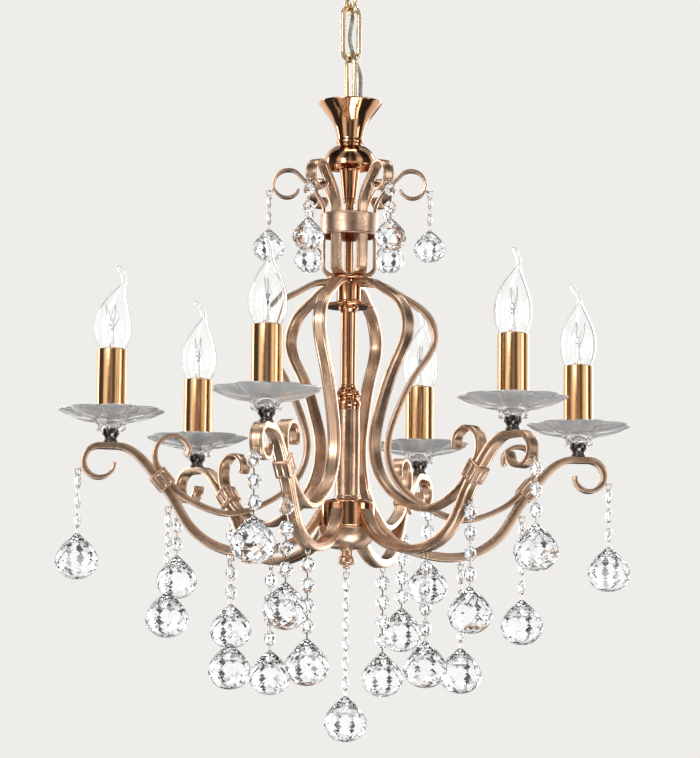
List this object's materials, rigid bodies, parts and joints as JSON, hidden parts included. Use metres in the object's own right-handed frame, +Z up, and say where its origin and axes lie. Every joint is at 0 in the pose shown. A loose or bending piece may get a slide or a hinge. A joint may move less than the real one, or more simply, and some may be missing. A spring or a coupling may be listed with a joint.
{
  "type": "crystal chandelier",
  "caption": "Hanging candle chandelier with scrolled arms, clear glass candle bulbs, cut glass drip dishes and swinging crystal strands on a chain.",
  "frame": {"origin": "middle of the canopy's rim, in the plane of the ceiling", "axes": "+Z up to the ceiling, +X along one candle arm"},
  "size_m": [0.5504, 0.4976, 0.7543],
  "materials": {
    "copper_body": "polished rose-gold plate",
    "brushed_arm": "brushed rose-gold plate",
    "chain": "satin pale gold plate",
    "sleeve": "brushed gold",
    "steel": "zinc plated",
    "terminal": "moulded",
    "cord": "clear jacket over stranded conductors",
    "crystal": "cut and polished crystal",
    "bulb_glass": "clear blown glass",
    "bulb_cap": "rolled screw cap",
    "holder": "moulded",
    "filament": "glass stem with wires"
  },
  "bodies": {
    "ceiling": {"ceiling_bracket": "steel", "canopy": "copper_body", "canopy_nipple": "steel", "canopy_loop": "chain", "terminal_block": "terminal", "cord_bush": "terminal"},
    "upper_link": {"chain_link_upper": "chain"},
    "lower_link": {"chain_link_lower": "chain"},
    "fixture": {"top_loop": "chain", "trumpet_cup": "copper_body", "dome_cap": "copper_body", "column_cone": "copper_body", "centre_tube": "steel", "spider_plate": "copper_body", "scroll_band": "copper_body", "upper_scrolls": "brushed_arm", "upper_hub": "copper_body", "centre_rod": "copper_body", "mid_knuckle": "copper_body", "lower_column": "copper_body", "arm_drum": "copper_body", "bottom_cup": "copper_body", "bottom_finial": "copper_body", "cage_straps": "brushed_arm", "candle_arms": "brushed_arm", "arm_clamps": "brushed_arm", "candle_cups": "copper_body", "drip_dishes": "crystal", "candle_sleeves": "sleeve", "lamp_holders": "holder", "bulb_envelopes": "bulb_glass", "bulb_caps": "bulb_cap", "filament_mounts": "filament", "strand_eyes": "copper_body", "supply_cord": "cord"},
    "end_strand_1": {"end_strand_1": "crystal"},
    "end_strand_2": {"end_strand_2": "crystal"},
    "end_strand_3": {"end_strand_3": "crystal"},
    "end_strand_4": {"end_strand_4": "crystal"},
    "end_strand_5": {"end_strand_5": "crystal"},
    "end_strand_6": {"end_strand_6": "crystal"},
    "outer_strand_1": {"outer_strand_1": "crystal"},
    "outer_strand_2": {"outer_strand_2": "crystal"},
    "outer_strand_3": {"outer_strand_3": "crystal"},
    "outer_strand_4": {"outer_strand_4": "crystal"},
    "outer_strand_5": {"outer_strand_5": "crystal"},
    "outer_strand_6": {"outer_strand_6": "crystal"},
    "inner_strand_1": {"inner_strand_1": "crystal"},
    "inner_strand_2": {"inner_strand_2": "crystal"},
    "inner_strand_3": {"inner_strand_3": "crystal"},
    "inner_strand_4": {"inner_strand_4": "crystal"},
    "inner_strand_5": {"inner_strand_5": "crystal"},
    "inner_strand_6": {"inner_strand_6": "crystal"},
    "top_strand_1": {"top_strand_1": "crystal"},
    "top_strand_2": {"top_strand_2": "crystal"},
    "top_strand_3": {"top_strand_3": "crystal"},
    "top_strand_4": {"top_strand_4": "crystal"},
    "top_strand_5": {"top_strand_5": "crystal"},
    "top_strand_6": {"top_strand_6": "crystal"},
    "centre_strand": {"centre_strand": "crystal"}
  },
  "joints": [
    {"name": "upper_link_swing", "type": "hinge", "parent": "ceiling", "child": "upper_link", "pos_m": [0, 0, -0.059], "axis": [-0.2419, 0.9703, 0], "range_deg": [-20, 20], "deforming": ["supply_cord"]},
    {"name": "lower_link_swing", "type": "hinge", "parent": "upper_link", "child": "lower_link", "pos_m": [0, 0, -0.1055], "axis": [0.9703, 0.2419, 0], "range_deg": [-20, 20], "deforming": ["supply_cord"]},
    {"name": "fixture_swing", "type": "hinge", "parent": "lower_link", "child": "fixture", "pos_m": [0, 0, -0.152], "axis": [-0.2419, 0.9703, 0], "range_deg": [-15, 15], "deforming": ["supply_cord"]},
    {"name": "end_strand_1_swing", "type": "hinge", "parent": "fixture", "child": "end_strand_1", "pos_m": [0.25468, 0, -0.50612], "axis": [0, 1, 0], "range_deg": [-12, 12]},
    {"name": "end_strand_2_swing", "type": "hinge", "parent": "fixture", "child": "end_strand_2", "pos_m": [0.12734, 0.22056, -0.50612], "axis": [-0.866, 0.5, 0], "range_deg": [-12, 12]},
    {"name": "end_strand_3_swing", "type": "hinge", "parent": "fixture", "child": "end_strand_3", "pos_m": [-0.12734, 0.22056, -0.50612], "axis": [-0.866, -0.5, 0], "range_deg": [-12, 12]},
    {"name": "end_strand_4_swing", "type": "hinge", "parent": "fixture", "child": "end_strand_4", "pos_m": [-0.25468, 0, -0.50612], "axis": [0, -1, 0], "range_deg": [-12, 12]},
    {"name": "end_strand_5_swing", "type": "hinge", "parent": "fixture", "child": "end_strand_5", "pos_m": [-0.12734, -0.22056, -0.50612], "axis": [0.866, -0.5, 0], "range_deg": [-12, 12]},
    {"name": "end_strand_6_swing", "type": "hinge", "parent": "fixture", "child": "end_strand_6", "pos_m": [0.12734, -0.22056, -0.50612], "axis": [0.866, 0.5, 0], "range_deg": [-12, 12]},
    {"name": "outer_strand_1_swing", "type": "hinge", "parent": "fixture", "child": "outer_strand_1", "pos_m": [0.16952, 0, -0.5399], "axis": [0, 1, 0], "range_deg": [-12, 12]},
    {"name": "outer_strand_2_swing", "type": "hinge", "parent": "fixture", "child": "outer_strand_2", "pos_m": [0.08476, 0.14681, -0.5399], "axis": [-0.866, 0.5, 0], "range_deg": [-12, 12]},
    {"name": "outer_strand_3_swing", "type": "hinge", "parent": "fixture", "child": "outer_strand_3", "pos_m": [-0.08476, 0.14681, -0.5399], "axis": [-0.866, -0.5, 0], "range_deg": [-12, 12]},
    {"name": "outer_strand_4_swing", "type": "hinge", "parent": "fixture", "child": "outer_strand_4", "pos_m": [-0.16952, 0, -0.5399], "axis": [0, -1, 0], "range_deg": [-12, 12]},
    {"name": "outer_strand_5_swing", "type": "hinge", "parent": "fixture", "child": "outer_strand_5", "pos_m": [-0.08476, -0.14681, -0.5399], "axis": [0.866, -0.5, 0], "range_deg": [-12, 12]},
    {"name": "outer_strand_6_swing", "type": "hinge", "parent": "fixture", "child": "outer_strand_6", "pos_m": [0.08476, -0.14681, -0.5399], "axis": [0.866, 0.5, 0], "range_deg": [-12, 12]},
    {"name": "inner_strand_1_swing", "type": "hinge", "parent": "fixture", "child": "inner_strand_1", "pos_m": [0.11008, 0, -0.58676], "axis": [0, 1, 0], "range_deg": [-12, 12]},
    {"name": "inner_strand_2_swing", "type": "hinge", "parent": "fixture", "child": "inner_strand_2", "pos_m": [0.05504, 0.09533, -0.58676], "axis": [-0.866, 0.5, 0], "range_deg": [-12, 12]},
    {"name": "inner_strand_3_swing", "type": "hinge", "parent": "fixture", "child": "inner_strand_3", "pos_m": [-0.05504, 0.09533, -0.58676], "axis": [-0.866, -0.5, 0], "range_deg": [-12, 12]},
    {"name": "inner_strand_4_swing", "type": "hinge", "parent": "fixture", "child": "inner_strand_4", "pos_m": [-0.11008, 0, -0.58676], "axis": [0, -1, 0], "range_deg": [-12, 12]},
    {"name": "inner_strand_5_swing", "type": "hinge", "parent": "fixture", "child": "inner_strand_5", "pos_m": [-0.05504, -0.09533, -0.58676], "axis": [0.866, -0.5, 0], "range_deg": [-12, 12]},
    {"name": "inner_strand_6_swing", "type": "hinge", "parent": "fixture", "child": "inner_strand_6", "pos_m": [0.05504, -0.09533, -0.58676], "axis": [0.866, 0.5, 0], "range_deg": [-12, 12]},
    {"name": "top_strand_1_swing", "type": "hinge", "parent": "fixture", "child": "top_strand_1", "pos_m": [0.07484, -0.01496, -0.23331], "axis": [0.1959, 0.9806, 0], "range_deg": [-12, 12]},
    {"name": "top_strand_2_swing", "type": "hinge", "parent": "fixture", "child": "top_strand_2", "pos_m": [0.05037, 0.05734, -0.23331], "axis": [-0.7513, 0.66, 0], "range_deg": [-12, 12]},
    {"name": "top_strand_3_swing", "type": "hinge", "parent": "fixture", "child": "top_strand_3", "pos_m": [-0.02447, 0.07229, -0.23331], "axis": [-0.9472, -0.3206, 0], "range_deg": [-12, 12]},
    {"name": "top_strand_4_swing", "type": "hinge", "parent": "fixture", "child": "top_strand_4", "pos_m": [-0.07484, 0.01496, -0.23331], "axis": [-0.1959, -0.9806, 0], "range_deg": [-12, 12]},
    {"name": "top_strand_5_swing", "type": "hinge", "parent": "fixture", "child": "top_strand_5", "pos_m": [-0.05037, -0.05734, -0.23331], "axis": [0.7513, -0.66, 0], "range_deg": [-12, 12]},
    {"name": "top_strand_6_swing", "type": "hinge", "parent": "fixture", "child": "top_strand_6", "pos_m": [0.02447, -0.07229, -0.23331], "axis": [0.9472, 0.3206, 0], "range_deg": [-12, 12]},
    {"name": "centre_strand_swing", "type": "hinge", "parent": "fixture", "child": "centre_strand", "pos_m": [0, 0, -0.5967], "axis": [0, 1, 0], "range_deg": [-12, 12]}
  ]
}
